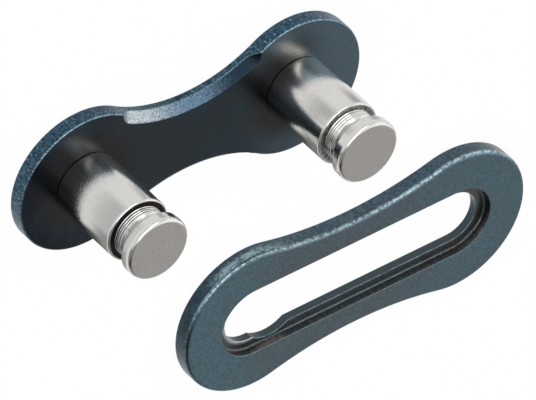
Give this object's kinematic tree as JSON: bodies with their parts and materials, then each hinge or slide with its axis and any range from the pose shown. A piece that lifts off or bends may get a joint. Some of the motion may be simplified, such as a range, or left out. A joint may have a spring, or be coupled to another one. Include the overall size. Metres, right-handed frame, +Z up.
{
  "type": "chain connecting link",
  "caption": "Snap-fit connecting link for a roller chain: a waisted plate with riveted, grooved, round-headed pins, and a loose slotted plate that slides over the pin heads.",
  "frame": {"origin": "midway between the two pin axes, on the back face of the pin plate, which is the surface that both pieces lie on", "axes": "+Z up along the pins, from the pin plate towards their heads; +X along the pitch line, from the left pin to the right pin"},
  "size_m": [0.0315, 0.0226, 0.0069],
  "materials": {
    "blued_steel": "dark blued steel, satin faces with brighter blue sheared edges",
    "blued_face": "teal-blue blued steel, satin face with a hammered rolled edge",
    "bright_steel": "bright turned and polished steel, satin end faces"
  },
  "bodies": {
    "root": {"pin_plate": "blued_steel", "left_pin": "bright_steel", "right_pin": "bright_steel", "slotted_plate": "blued_face"}
  },
  "joints": []
}
